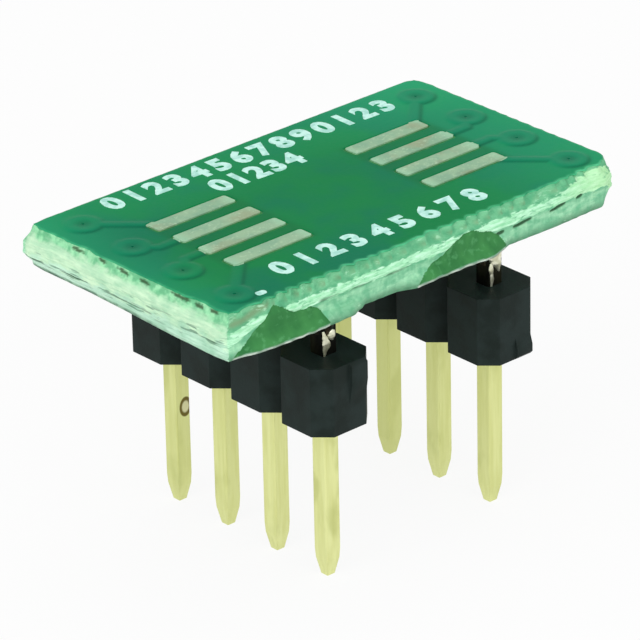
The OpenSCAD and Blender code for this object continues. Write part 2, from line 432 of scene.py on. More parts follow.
# %% [markdown]
# ## The snapped edge
# Snapped glass-epoxy shows three things. The flanks that the V tool cut are dull, with a row of
# scoops at the front, where its teeth bit. The web between them tore ply by ply, so it stands out in
# pale layers of broken glass. Below the web a dark crack comes and goes. On the front, two stretches
# of the lower flank kept a smooth green face, and on the left nearly all of the glass shows white. All
# of it is one sweep: a profile of the edge, carried round the board, whose points move in or out by
# noise that is measured along the edge. Each use of the noise has a seed of its own.

# %% Where a point lies on the edge
ROUND = 4 * (HALF_L + HALF_W)
STARTS = (HALF_L, 2 * HALF_L + HALF_W, 3 * HALF_L + 2 * HALF_W, 4 * HALF_L + 3 * HALF_W)


def on_edge(x, y):
    """For each point: the nearest of the four edges (front 0, right 1, back 2, left 3), the place
    along it from its middle, and the place along the whole way round."""
    gaps = np.stack((HALF_W + y, HALF_L - x, HALF_W - y, HALF_L + x))
    edge = gaps.argmin(0)
    along = np.choose(edge, (x, y, -x, -y))
    return edge, along, np.choose(edge, STARTS) + along


def lap(way, size, v, seed, octaves=1):
    """Noise of a given size in millimetres along the way round, closed where it comes round."""
    count = int(round(ROUND / size))
    return wander(way / ROUND * count, v, seed, octaves, count)


def from_corner(edge, along, reach):
    """0 at the two ends of an edge, and 1 from a given distance inwards."""
    return smooth((np.choose(edge, (HALF_L, HALF_W, HALF_L, HALF_W)) - np.abs(along)) / reach)


def worn(edge, along, half):
    """How far the edge is worn back at its ends, over about 0.2 mm: by 0.11 mm at the right of the
    board and by 0.05 mm at its left. An edge at place 0 from its middle has half this length."""
    at_left = np.choose(edge, (along < 0, 0 * along, along > 0, 1 + 0 * along))
    return (0.11 - 0.06 * at_left) * np.exp(-((half - np.abs(along)) / 0.22) ** 2)


def scoops(way):
    """The scoops that the tool's teeth cut at the front, each about 0.6 mm long: the place in the
    scoop from 0 to 1, and its depth, which is the size of a sine, so it is 0 at both ends."""
    turn = way / 0.61 + 0.5 * lap(way, 1.5, 0 * way, 41, 2)
    return turn - np.floor(turn), np.abs(np.sin(np.pi * turn))


def chipped(edge, along, way):
    """How far the film's edge is set back: a round bite at each scoop of the front, loose chips on the
    left, and next to nothing on the right and at the back."""
    flat = 0 * way
    bites = 0.17 * scoops(way)[1] * (0.75 + 0.45 * lap(way, 0.9, flat, 61))
    bites = bites + 0.05 * smooth(lap(way, 2.1, flat, 62))
    chips = 0.09 * smooth(0.35 + 1.1 * lap(way, 0.9, flat, 63, 2))
    back_set = np.choose(edge, (bites, 0.2 * bites, 0 * bites, chips))
    return back_set * from_corner(edge, along, 0.35) + 0.006 * lap(way, 0.14, flat, 64)


FOOT = ((-8.5, 0.24), (-7.9, 0.42), (-6.8, 0.50), (-5.6, 0.56), (-3.7, 0.48), (-3.0, 0.14), (-1.6, 0.16),
        (-0.9, 0.44), (0.4, 0.42), (1.5, 0.42), (2.5, 0.54), (3.1, 0.34), (3.6, 0.14), (5.6, 0.20),
        (8.0, 0.16), (8.6, 0.04))


def trim(x, y, height):
    """Moves points of a regular board to its real outline, by soft steps in the last half millimetre,
    so the holes keep their places. The left score line lies 0.16 mm out. At the back the film reaches
    the edge, so the rims lie 0.17 mm out and the web stays. The front right corner is rubbed off. The
    lower scores ran askew, so the foot of the edge stands out: at the left by up to 0.24 mm towards the
    front, and at the front by the amounts that FOOT gives at places along x, most where the green faces
    were kept."""
    rim = np.clip(1 - np.minimum(height, CORE_T - height) / SCORE, 0, 1)
    low = smooth((0.55 - height) / 0.45)
    left, right_end = smooth((-x - 8.3) / 0.39), smooth((x - 8.3) / 0.39)
    front, rear = smooth((-y - 4.58) / 0.28), smooth((y - 4.4) / 0.45)
    rubbed = smooth(1 - np.hypot(x - 8.75, y + 4.95) / 0.8)
    foot = np.interp(x, *np.array(FOOT).T)
    moved_x = x - 0.16 * left + 0.06 * right_end - 0.24 * low * left * smooth((3 - y) / 8) - 0.22 * rubbed
    return moved_x, y + 0.17 * rim * rear - low * front * foot + 0.16 * rubbed


def trim_piece(piece):
    """Trims a finished piece. Its colours were worked out before, on the regular board."""
    x, y, z = points_of(piece.data)
    x, y = trim(x, y, z - CORE_Z)
    piece.data.vertices.foreach_set("co", (np.stack((x, y, z), -1) * MM).ravel())
    piece.data.update()

# %% Marks on the edge
LEFT_TOP = ((-8.65, 0.0), (-8.5, 0.3), (-8.2, 0.55), (-7.85, 0.80), (-7.5, 0.93), (-7.15, 1.22),
            (-6.95, 1.30), (-6.65, 1.19), (-6.45, 1.0), (-6.2, 0.86), (-5.7, 0.82), (-5.3, 0.76),
            (-5.05, 0.58), (-4.85, 0.0))
RIGHT_TOP = ((-1.1, 0.0), (-0.8, 0.2), (-0.45, 0.38), (0.0, 0.56), (0.6, 0.76), (1.05, 1.02), (1.4, 1.14),
             (1.9, 1.1), (2.3, 0.98), (2.7, 0.84), (3.0, 0.66), (3.2, 0.4), (3.3, 0.2), (3.35, 0.0))
SLOTS = ((3.1, 0.60, 0.26), (4.19, 0.66, 0.46), (5.85, 0.70, 0.42), (6.87, 0.77, 0.16))
FLECKS = ((-2.6, 1.40, 0.34), (-1.3, 1.43, 0.20), (-0.25, 1.40, 0.30), (0.84, 1.39, 0.24),
          (2.6, 1.43, 0.42), (3.5, 1.40, 0.26), (4.2, 1.43, 0.18))


def raised(edge, along):
    """How far the torn web lies higher at the front, where the upper score was the shallower one: by
    0.25 mm, fading to nothing at the corners."""
    return 0.25 * (edge == 0) * from_corner(edge, along, 0.9)


def green_face(edge, along, height):
    """Share of the smooth green face that the front kept, in two stretches. The top of each is a line
    through the given places along the front and heights in millimetres, frayed by a little noise."""
    total = 0
    for profile in (LEFT_TOP, RIGHT_TOP):
        at, top = np.array(profile).T
        ragged = np.interp(along, at, top, 0, 0) + 0.05 * wander(along / 0.22, 0 * along, 31, 3)
        total = total + smooth((ragged - height) / 0.04) * (along > at[0]) * (along < at[-1])
    return np.clip(total, 0, 1) * (edge == 0)


def crack(edge, along, way, height):
    """The dark crack under the web. At the sides and the back it is a hair line that comes and goes. At
    the front it is a broad faint line between the two green faces, and to the right of the second it
    opens in four slots, each a flat ellipse that rises a little to the right. SLOTS gives the middle,
    the height and half the length of each."""
    front, flat = edge == 0, 0 * way
    line = np.where(front, 0.80, 0.49) + 0.04 * lap(way, 1.9, flat, 51)
    between_faces = smooth((along + 5.4) / 0.5) * smooth((-0.6 - along) / 0.9)
    dash = np.where(front, between_faces * (0.75 + 0.4 * lap(way, 0.5, flat, 53)),
                    smooth(0.35 + 1.6 * lap(way, 1.1, flat, 52, 2)))
    narrow = np.where(front, 0.07, 0.028)
    found = np.where(front, 0.42, 0.8) * dash * np.exp(-((height - line) / narrow) ** 2)
    for middle, level, half in SLOTS:
        length = np.sqrt(np.clip(1 - ((along - middle) / half) ** 2, 0, 1))
        slot = length * np.exp(-((height - level - 0.10 * (along - middle)) / 0.06) ** 2)
        found = np.maximum(found, slot * front)
    return found


def flecks(edge, along, height):
    """Dark flecks of burnt resin just under the film on the left: frayed ellipses. FLECKS gives the
    middle, the height and half the length of each."""
    found = 0
    frayed = 0.9 * wander(along / 0.12, height / 0.06, 36, 2)
    for middle, level, half in FLECKS:
        away = ((along - middle) / half) ** 2 + ((height - level + 0.08 * (along - middle)) / 0.06) ** 2
        found = np.maximum(found, smooth(1.5 - away - frayed))
    return found * (edge == 3)


print("way round the board in mm:", round(ROUND, 2))

# %% Sweep the edge
FACE_INSETS = (0.8, 0.5)
HEIGHTS = np.concatenate(((0, 0), np.linspace(0, SCORE, 11), np.linspace(SCORE, SCORE * 2, 15)[1:],
                          np.linspace(SCORE * 2, CORE_T, 12)[1:], (CORE_T, CORE_T)))
INSETS = np.concatenate((FACE_INSETS, np.linspace(SETBACK, 0, 11), np.zeros(14),
                         np.linspace(0, SETBACK, 12)[1:], FACE_INSETS[::-1]))


def bulge(edge, along, way, height):
    """How far the edge stands out at a point. On the web each of three plies wanders by itself and
    carries fine tufts, more on the left and at its back corner, where the web also fades out more
    softly. The upper flank is hollow in each scoop, both flanks have slanting scrapes, and the rims
    draw back as far as the film is chipped."""
    up = raised(edge, along)
    from_back = way - STARTS[3] + HALF_W
    soft = 0.3 * smooth((from_back + 1.2) / 1.2) * smooth((STARTS[3] + HALF_W - way) / 2)
    web = smooth((height - WEB_FOOT - up + 0.8 * soft) / (0.10 + soft))
    web = web * smooth((WEB_TOP + up + 0.8 * soft - height) / (0.14 + soft))
    ply = np.clip(np.floor((height - SCORE) / (SCORE / 3)), 0, 2)
    inner, front = from_corner(edge, along, 0.6), (edge == 0)
    proud = 0.03 + 0.05 * inner * (edge == 3) + 0.11 * np.exp(-from_back ** 2)
    loose = 0.045 * lap(way, 1.1, 7 * ply + 0.5, 11, 2) + 0.022 * lap(way, 0.25, height * 9, 12, 2)
    torn = proud + (0.5 + 0.5 * inner) * loose
    upper = smooth((height - 0.95 - 0.6 * up) / 0.2)
    scrape = 0.05 * (0.5 - scoops(way + 0.2 * (CORE_T - height))[1]) * upper * inner * front
    scrape = scrape + 0.012 * lap(way + 0.7 * height, 0.18, height * 3, 13)
    low = smooth((0.5 - height) / 0.1)
    rough = web * torn + (1 - web) * scrape + low * 0.015 * lap(way, 0.3, height * 6, 15, 2)
    off_groove = np.abs(height - 0.66 - 0.05 * lap(way, 2.0, 0 * way, 16))
    rough = rough - 0.02 * smooth((0.02 - off_groove) / 0.02) * web
    kept = green_face(edge, along, height)
    out = rough * (1 - kept) - 0.02 * kept - 0.10 * crack(edge, along, way, height) * (1 - kept)
    out = out * smooth(height / 0.08 + 0.3) * smooth((CORE_T - height) / 0.08 + 0.3)
    above, below = (np.clip(v, 0, 1) ** 1.3 for v in ((height - 1.05) / 0.45, (0.4 - height) / 0.4))
    return out - chipped(edge, along, way) * (above + 0.2 * below)


def edge_points(height, inset, counts=(380, 216)):
    """Points on a grid of rows up the profile and columns round the board, of which counts gives the
    number on a long and on a short edge. Each edge runs between corners set in by the inset less the
    bulge, and is worn back a little there."""
    edge = np.repeat((0, 1, 2, 3), (counts[0], counts[1]) * 2)
    t = np.concatenate([np.linspace(-1, 1, n, endpoint=False) for n in counts * 2])
    run = np.where(edge % 2 == 0, HALF_L, HALF_W)
    reach = np.where(edge % 2 == 0, HALF_W, HALF_L)
    along = t * run
    way = np.choose(edge, STARTS) + along
    edge, along, way, run, reach = (v[None, :] for v in (edge, along, way, run, reach))
    height, inset = height[:, None], inset[:, None]
    face = inset > SETBACK + 0.01
    out = np.where(face, 0, bulge(edge, along, way, height))
    inward = inset - out + worn(edge, along, run) * ~face
    a, r = along / run * (run - inward), reach - inward
    x = np.choose(edge, (a, r, -a, -r))
    y = np.choose(edge, (-r, a, r, -a))
    return np.stack((x, y, CORE_Z + height + 0 * x), -1)

# %% [markdown]
# The core's colours follow the same functions as its shape, worked out for each point after the holes
# are drilled. The first colour holds how far the glass shows white, the smooth green face, and the
# dark of the crack. The second holds the white left side, the shade in the scoops, and the marks:
# flecks at the left, and at the front the frayed pale lip under each green face. The shader adds the
# fine layers of glass cloth, which are flat, so its noise is stretched along the board and thin in
# height.

# %% Paint the torn edge
epoxy = Paint("glass_epoxy", 0.6, Specular_IOR_Level=0.12)
pale, kept, dark = epoxy.painted("core")
left_side, shaded, burnt = epoxy.painted("marks")
height_mm = epoxy.place(2) - CORE_Z
layers = epoxy.noise(1.0, 3, (1, 1, 0.09)).between(0.38, 0.62)
cloud = epoxy.noise(2.2, 3, (1, 1, 0.5)).between(0.36, 0.64)
tufts = epoxy.noise(4, 3, (1, 1, 0.25)).between(0.40, 0.62)
streaks = epoxy.noise(5, 2, (1, 1, 3)).between(0.40, 0.60)
upper_flank = epoxy.coats((92, 174, 128), ((118, 194, 146), cloud), ((124, 150, 112), shaded * 0.8))
lower_flank = epoxy.mix((114, 188, 145), (162, 222, 180), cloud * 0.65 + streaks * 0.35)
flank = epoxy.coats(lower_flank, (upper_flank, height_mm.between(0.6, 1.0)),
                    ((74, 128, 94), height_mm.between(0.42, 0.04) * (0.55 + cloud * 0.35)))
fibre = epoxy.coats((150, 224, 172), ((204, 255, 220), layers * 0.6 + tufts * 0.4),
                    ((188, 238, 172), epoxy.place(0).between(5.0, 8.5) * 0.6))
torn_share = (pale + (cloud - 0.5) * 0.45 + (tufts - 0.5) * 0.25).between(0.3, 0.7)

# %% Paint the white left side
patches = epoxy.noise(1.5, 3, (1, 1, 0.6)).between(0.36, 0.64)
warm = epoxy.mix((170, 220, 182), (218, 251, 214), layers * 0.30 + cloud * 0.30 + patches * 0.40)
# Painted light: towards the back, the lower part is made lighter to make up for the shade on its downward
# slope.
cool = epoxy.coats((160, 212, 180), ((204, 244, 218), layers * 0.40 + cloud * 0.25 + patches * 0.35),
                   ((214, 252, 228), epoxy.place(1).between(-1.0, 3.5) * 0.6))
dashes = epoxy.noise(1.0, 2, (1, 1, 0.14)).between(0.55, 0.63)
dash_zone = (height_mm - 0.54).size().between(0.32, 0.18)
foot_line = height_mm.between(0.19, 0.07) * (0.10 + epoxy.place(1).between(-3.8, 1.0) * 0.85)
stripe = epoxy.mix((98, 188, 134), (154, 230, 176), epoxy.noise(2.8, 2).between(0.38, 0.62))
stripe_level = height_mm + (cloud - 0.5) * 0.14 + epoxy.place(1).between(-2.8, -4.8) * 0.12
cream = epoxy.coats(cool, (warm, (height_mm + (cloud - 0.5) * 0.3).between(0.35, 0.75)),
                    ((108, 148, 124), dashes * dash_zone * 0.8),
                    (epoxy.mix((78, 112, 92), (150, 190, 160), cloud), foot_line),
                    (stripe, stripe_level.between(1.09, 1.36) * 0.9))

# %% Paint the green faces and the marks
smooth_green = epoxy.coats((50, 118, 64),
                           ((66, 138, 76), epoxy.noise(1.6, 2, (1, 1, 4)).between(0.3, 0.7)),
                           ((92, 166, 108), epoxy.noise(4, 3).between(0.54, 0.70) * 0.45))
lip = epoxy.mix((146, 166, 150), (216, 228, 216), cloud)
mark = epoxy.mix((56, 80, 50), lip, epoxy.place(1).between(-4.7, -4.75))
epoxy.set("Base Color", epoxy.coats(
    flank, (fibre, torn_share), (cream, left_side), (smooth_green, kept.between(0.35, 0.65)),
    ((52, 92, 62), dark.between(0.12, 0.55) * 0.95), (mark, burnt * 0.88)))
epoxy.bump((layers * 0.6 + tufts * 0.4) * (1.0 - kept), 0.018)

# %% Build the core
def core_colours(x, y, z):
    """Six shares for each point. White: full on the torn web, and in slanting strokes on the flanks.
    Green face: the two stretches of the front, and the inner part of the board, of which only a thin
    ring shows round each land. Dark: the crack. Then the left side; the shade in the scoops, with a
    streak that rises from the front left corner; and the flecks and the lip."""
    edge, along, way = on_edge(x, y)
    height = z - CORE_Z
    inside = np.where(edge % 2 == 0, FACE_W, FACE_L) - np.choose(edge, (-y, x, y, -x))
    up = raised(edge, along)
    wide = 0.6 * up + 0.3 * (edge == 0) * smooth((along - 5.5) / 2.5)
    web = smooth((height - 0.46 - 1.2 * up) / 0.08) * smooth((1.06 + wide - height) / 0.14)
    stroke = lap(way + 0.5 * height, 0.42, height * 2.2, 21, 3)
    upper = smooth((height - 1.0 - 0.8 * up) / 0.1)
    strokes_share = np.where(edge == 0, 0.22, 0.5)
    white_level = web * (0.85 + 0.25 * stroke) + (1 - web) * (0.04 + strokes_share * np.clip(stroke, 0, 1))
    face = green_face(edge, along, height)
    kept_face = face * smooth((height - 0.09 - 0.04 * lap(way, 0.3, 0 * way, 23, 2)) / 0.03)
    kept_face = np.maximum(kept_face, smooth((inside - 0.35) / 0.1))
    gloom = crack(edge, along, way, height) * (1 - kept_face)
    left_share = from_corner(edge, along, 0.15) * (edge == 3)
    in_scoop = smooth(1.6 * scoops(way + 0.2 * (CORE_T - height))[0] - 0.7)
    shade = in_scoop * upper * smooth((1.47 - height) / 0.2) * (0.7 + 0.4 * lap(way, 0.5, height, 24))
    shade = shade * (edge != 3) * np.where(edge == 0, 1, 0.4)
    streak = np.exp(-((height - 1.22 - 0.13 * (along + 8.4)) / 0.10) ** 2) * smooth((-6.9 - along) / 0.4)
    shade = np.maximum(shade, streak * (edge == 0) * from_corner(edge, along, 0.3))
    lip = green_face(edge, along, 0 * height + 0.12) * (1 - face * smooth((height - 0.05) / 0.06))
    lip = lip * smooth((0.16 - height) / 0.05)
    return (white_level, kept_face, gloom), (left_share, shade, flecks(edge, along, height) + lip)


sweep = edge_points(HEIGHTS, INSETS)
core = make_piece("core", sweep.reshape(-1, 3), tube_faces(*sweep.shape[:2]), epoxy)
drill(core, vias, DRILL_R)
for layer_name, shares in zip(("core", "marks"), core_colours(*points_of(core.data))):
    paint_points(core.data, layer_name, *shares)
trim_piece(core)
settle(core, "laminate", "laminate")

# %% [markdown]
# ## The green film
# The film is a height over the board. It is thin over the bare core, it climbs over the copper with
# a rounded shoulder, and it stops round each land and pad. The tool chipped its outer edge. The grid
# lines crowd where the shape changes quickly, which keeps the mesh small: in x and then in y, a spot's
# reach, the coarse step and the fine step are given.

# %% Shape of the film
LOWER_SHARE, LOWER_SETBACK = 0.2, 0.15
UPPER_STEPS = ((0.2, 0.06, 0.04), (0.09, 0.085, 0.035))
LOWER_STEPS = ((0.3, 0.08, 0.05), (0.3, 0.08, 0.05))


def crowded(low, high, spots, reach, coarse, fine):
    """Positions from low to high that crowd round the spots: the wanted density is summed along the
    range, and equal steps of the sum are read back as positions."""
    x = np.linspace(low, high, 6001)
    near = np.exp(-((x[:, None] - np.asarray(spots)) / reach) ** 2).max(1)
    density = 1 / coarse + near * (1 / fine - 1 / coarse)
    total = np.concatenate(([0], np.cumsum((density[1:] + density[:-1]) / 2 * np.diff(x))))
    return np.interp(np.linspace(0, total[-1], int(np.ceil(total[-1])) + 1), total, x)


def to_copper(x, y, top):
    """Distance to the covered copper of one face: rings, and traces to the lands or to the pads."""
    found = [to_disc(x, y, via, RING_R) for via in vias]
    if top:
        for via, bend, land in zip(vias, bends, lands):
            found += [to_line(x, y, via, bend) - TRACE_W / 2, to_line(x, y, bend, land) - TRACE_W / 2]
    else:
        found += [to_line(x, y, via, pin) - LOWER_TRACE_W / 2 for via, pin in zip(vias, pins)]
    return np.min(found, 0)


def to_opening(x, y, top):
    """Distance to the nearest opening round a land or a pad; its outline is a little ragged."""
    if top:
        found = [to_tablet(x, y, land, LAND_L / 2 + GAP, LAND_W / 2 + GAP, LAND_R + GAP) for land in lands]
    else:
        found = [to_disc(x, y, pin, PAD_R + GAP) for pin in pins]
    return np.min(found, 0) + 0.018 * wander(x / 0.16, y / 0.16, 61, 2)


def to_hole(x, y):
    """Distance to the centre of the nearest plated hole."""
    return np.min([np.hypot(x - via[0], y - via[1]) for via in vias], 0)


def film_height(x, y, top):
    """Height of the film over the core: its thickness, plus the copper's behind a rounded shoulder,
    less a shallow dish over each hole; a faint unevenness; and just below the core in an opening."""
    shoulder = smooth((0.13 - to_copper(x, y, top)) / 0.26)
    dish = 0.022 * smooth((0.50 - to_hole(x, y)) / 0.44)
    height = FILM_T + COPPER_T * shoulder - dish + 0.003 * wander(x / 0.9, y / 0.9, 62, 2)
    opened = smooth((0.02 - to_opening(x, y, top)) / 0.04)
    return height * (1 - opened) - 0.012 * opened


def film_grid(x, y, share):
    """Moves the grid's outer lines in, fading to nothing 0.5 mm further in: by a share of the chips, by
    more where that share is small, as on the underside, and by the wear at the corners."""
    inward = []
    for edge, (gap, along, half) in enumerate(((y + FACE_W, x, FACE_L), (FACE_L - x, y, FACE_W),
                                               (FACE_W - y, -x, FACE_L), (x + FACE_L, -y, FACE_W))):
        amount = share * chipped(edge, along, STARTS[edge] + along) + LOWER_SETBACK * (1 - share)
        inward.append(smooth(1 - gap / 0.5) * (amount + worn(edge, along, half)))
    return x + inward[3] - inward[1], y + inward[0] - inward[2]

# %% [markdown]
# Where the film lies over copper it looks a shade lighter and bluer. It is painted darker, as shade,
# against the front flank of each ring and trace, and in the dimples over the holes. At its chipped
# edge it has turned pale. These three shares are kept on the points. The shader adds a mottle
# between grass green and sea green, a lighter tone towards the right and the back that is a painted
# sheen, a duller one round the lands, and an uneven gloss.

# %% Paint and build both films
varnish = Paint("green_film", 0.36, Specular_IOR_Level=0.03)
over, painted_shade, frayed = varnish.painted("film")
mottle = varnish.noise(0.28, 3).between(0.38, 0.62)
grain = varnish.noise(7, 3)
film_x, film_y = varnish.place(0), varnish.place(1)
# Painted sheen: the film is lighter towards the right, the back and the left end.
sheen_share = (film_x.between(1.5, 10.5) * 0.62 + film_x.between(-6.5, -9.5) * 0.4
              + film_y.between(1.0, 5.5) * 0.28)
bank_share = (film_x.size() - LAND_X).size().between(2.1, 1.7) * film_y.size().between(2.5, 2.1)
# Painted shade: the dark green on the front flanks of the copper and in the dimples over the holes.
varnish.set("Base Color", varnish.coats(
    (0, 118, 82), ((4, 128, 68), mottle), ((34, 168, 116), sheen_share), ((10, 108, 58), bank_share * 0.55),
    ((24, 134, 98), over * (0.30 + film_x.between(-1, 4) * 0.30)), ((0, 84, 62), painted_shade * 0.72),
    ((98, 208, 152), frayed * 0.9)))
varnish.set("Roughness", 0.30 + grain * 0.16)
varnish.bump(grain, 0.003)


def build_film(name, top, replaced):
    """One film: its outer surface is a height over a crowded grid, a rim goes down into the core,
    and a flat sheet just inside the core closes it. The mouths over the holes are cut last."""
    x_spots, y_spots = [(-FACE_L, FACE_L)], [(-FACE_W, FACE_W)]
    share = 1.0 if top else LOWER_SHARE
    if top:
        land_y = steps * LAND_PITCH
        x_spots += [ends * VIA_X, ends * (LAND_X - LAND_L / 2 - GAP), ends * (LAND_X + LAND_L / 2 + GAP)]
        y_spots += [steps * PITCH, land_y - LAND_W / 2 - GAP, land_y + LAND_W / 2 + GAP]
    x_steps, y_steps = UPPER_STEPS if top else LOWER_STEPS
    x_lines = crowded(-FACE_L, FACE_L, np.concatenate(x_spots), *x_steps)
    y_lines = crowded(-FACE_W, FACE_W, np.concatenate(y_spots), *y_steps)
    x, y = film_grid(*np.meshgrid(x_lines, y_lines, indexing="ij"), share)
    rows, columns = x.shape
    number = np.arange(rows * columns).reshape(rows, columns)
    loop = np.concatenate((number[0, :-1], number[:-1, -1], number[-1, :0:-1], number[:0:-1, 0]))
    surface = np.stack((x, y, film_height(x, y, top)), -1).reshape(-1, 3)
    rim = surface[loop] * (1, 1, 0) - (0, 0, 0.02)
    points = np.concatenate((surface, rim))
    points[:, 2] = CORE_Z + CORE_T + points[:, 2] if top else CORE_Z - points[:, 2]
    under = rows * columns + np.arange(len(loop))
    walls = np.stack((loop, np.roll(loop, -1), np.roll(under, -1), under), 1)
    faces = grid_faces(rows, columns).tolist() + walls.tolist() + [under.tolist()]
    film = make_piece(name, points, faces, varnish)
    drill(film, vias, MOUTH_R)
    x, y, z = points_of(film.data)
    edge, along, way = on_edge(x, y)
    copper = to_copper(x, y, top)
    rim = np.minimum(FACE_L - np.abs(x), FACE_W - np.abs(y)) - share * chipped(edge, along, way)
    # Painted shade: darker on the side of each ring and trace that faces the front, and in the dimple over
    # each hole.
    front = smooth((to_copper(x, y - 0.02, top) - to_copper(x, y + 0.02, top)) / 0.04)
    front_shade = np.exp(-((copper - 0.06) / 0.08) ** 2) * (0.04 + 0.90 * front)
    hole_shade = 0.55 * smooth((0.42 - to_hole(x, y)) / 0.34)
    pale_rim = smooth(1 - rim / np.where(edge == 0, 0.15, 0.1)) * np.choose(edge, (1.0, 0.45, 0.25, 0.8))
    pale_rim = pale_rim * (0.6 + 0.5 * lap(way, 0.3, 0 * way, 65, 2))
    paint_points(film.data, "film", smooth(0.6 - copper / 0.12), front_shade + hole_shade, pale_rim)
    trim_piece(film)
    settle(film, "solder_mask", replaced)


build_film("film_top", True, "mask_top")
build_film("film_bottom", False, "mask_bottom")

# %% [markdown]
# ## The printed legend
# The film carries white print: three rows of running figures, and a dot. Blender's own letters make
# the figures, thickened as ink spreads, turned into a mesh, and laid on the film, each point at the
# film's own height there. The print sits a degree or two askew, as a screen that was set down by hand
# leaves it. Each row has its number of figures, the middle of the first, its foot and its pitch.

# %% Print the figures
INK = 0.014
STRETCH = 100
NOTCH, WIDE_NOTCH = 0.02, 0.0295
ink = Paint("white_ink", 0.5, Specular_IOR_Level=0.3)
ink.set("Base Color", ink.mix((168, 226, 212), (206, 252, 240), ink.noise(3, 3).between(0.35, 0.6)))
ink.bump(ink.noise(8, 2), 0.004)


def figures(text, x, y, size):
    """The points and faces of one number, its middle at x and its foot at y, in millimetres. Thickening
    crosses the outline over itself in a narrow notch, of which the 3 has the widest, so points that
    are close together are merged. Meanwhile the number is stretched upwards a hundred times, which
    keeps its top and its underside apart."""
    letters = bpy.data.curves.new(text, "FONT")
    letters.body, letters.align_x = text, "CENTER"
    letters.size, letters.offset, letters.extrude = size, 0.048 * size, INK / 2
    letters.resolution_u = 4
    holder = placed(text, letters)
    mesh = final_mesh(holder)
    bpy.data.objects.remove(holder)
    work = bmesh.new()
    work.from_mesh(mesh)
    bmesh.ops.scale(work, vec=(1, 1, STRETCH), verts=work.verts)
    bmesh.ops.remove_doubles(work, verts=work.verts, dist=WIDE_NOTCH if text == "3" else NOTCH)
    bmesh.ops.scale(work, vec=(1, 1, 1 / STRETCH), verts=work.verts)
    work.to_mesh(mesh)
    work.free()
    flat = np.empty(3 * len(mesh.vertices))
    mesh.vertices.foreach_get("co", flat)
    points = flat.reshape(-1, 3) + (x, y, 0)
    faces = [list(polygon.vertices) for polygon in mesh.polygons]
    bpy.data.meshes.remove(mesh)
    return points, faces


def dot(x, low, high, width):
    """A printed dot: an upright prism over an outline that lies between an ellipse and its box, as
    print rounds the corners. The square root of the cosine widens the ellipse."""
    turn = np.linspace(0, 2 * np.pi, 16, endpoint=False)
    across = width / 2 * np.sign(np.cos(turn)) * np.abs(np.cos(turn)) ** 0.5
    upright = (high + low) / 2 + (high - low) / 2 * np.sin(turn)
    return prism(np.stack((x + across, upright), 1), -INK / 2, INK / 2)


FIGURE = 1.3
SKEW = -0.03
ROWS = ((14, -5.95, 3.78, 0.93), (9, -5.1, -4.0, 1.06), (5, -2.35, 2.45, 0.8))
printed = [figures(str(n % 10), first + pitch * n, foot, FIGURE)
           for count, first, foot, pitch in ROWS for n in range(count)]
ink_points, ink_faces = joined(printed + [dot(-6.82, -4.70, -4.42, 0.42)])
wobble = 0.012 * wander(ink_points[:, 0] / 0.13, ink_points[:, 1] / 0.13, 71)
ink_points[:, 0] += wobble - SKEW * ink_points[:, 1]
ink_points[:, 1] += SKEW * ink_points[:, 0] - wobble
ink_points[:, 2] += CORE_Z + CORE_T + film_height(ink_points[:, 0], ink_points[:, 1], True) + INK / 2
settle(make_piece("legend", ink_points, ink_faces, ink, soft=False), "solder_mask")

# %% [markdown]
# ## Copper, pins and plastic
# These solids already have the right shape, so they keep it and get their finish. The lands are
# matt tin with a slight mottle. The pins are drawn brass wire under thin gold, so their noise is
# stretched along the pin. The ends of the two front pins above the strip, and the solder of the left
# one, are painted nearly black as shade under the board. Burnt flux left a ring on the back pin at the
# left.

# %% Tin, gold and solder
tin = Paint("matt_tin", 0.5, Metallic=0.2, Specular_IOR_Level=0.15)
tin_cloud = tin.noise(1.4, 4).between(0.35, 0.65)
land_end = (tin.place(0).size() - LAND_X).size().between(1.2, 1.68)
tin.set("Base Color", tin.coats(
    (136, 178, 146), ((154, 190, 154), tin_cloud), ((158, 208, 172), land_end * 0.7),
    ((154, 150, 116), tin.noise(0.8, 4).between(0.50, 0.68) * 0.5),
    ((196, 222, 190), tin.noise(9, 2).between(0.56, 0.70) * 0.4)))
tin.bump(tin.noise(6, 3), 0.006)

SPOT_X, SPOT_Z = -3.70, 3.63
BACK_PIN_FRONT = 1.5 * PITCH - 0.32
gilt = Paint("pale_gold", 0.34, Metallic=0.85, Specular_IOR_Level=0.06)
drawn = gilt.noise(5, 3, (1, 1, 12)).between(0.3, 0.7)
patch = gilt.noise(0.9, 3, (1, 1, 2)).between(0.52, 0.72)
pin_x, pin_y, pin_z = (gilt.place(axis) for axis in range(3))
right_row = pin_x.between(0, 2)
# Painted shade: the pins further back, and those of the right row, are a little darker.
pin_shade = pin_y.between(-3.4, 3.8) * (0.35 + right_row * 0.25) + right_row * 0.22
# Painted shade: the front pins are nearly black above the strip, in the board's shadow.
stub_shade = pin_z.between(8.24, 8.34) * pin_y.between(-3.3, -3.4)
shade_tone = gilt.mix((10, 11, 7), (30, 30, 18), patch)
spot_x, spot_z = (pin_x - SPOT_X) * 3.8, (pin_z - SPOT_Z) * 2.7
spot = gilt.node("Math", {"operation": "SQRT"}, {0: spot_x * spot_x + spot_z * spot_z})
on_front = (pin_y - BACK_PIN_FRONT).size().between(0.05, 0.02)
gilt.set("Base Color", gilt.coats(
    (218, 222, 148), ((232, 236, 168), drawn), ((188, 194, 118), patch * 0.6), ((196, 202, 128), pin_shade),
    (shade_tone, stub_shade), ((100, 86, 30), spot.between(1.08, 0.94) * on_front * 0.95),
    ((216, 214, 168), spot.between(0.72, 0.46) * on_front)))
gilt.set("Metallic", 0.85 - stub_shade * 0.75)
gilt.set("Roughness", 0.30 + drawn * 0.12 + stub_shade * 0.2)
gilt.bump(drawn, 0.004)

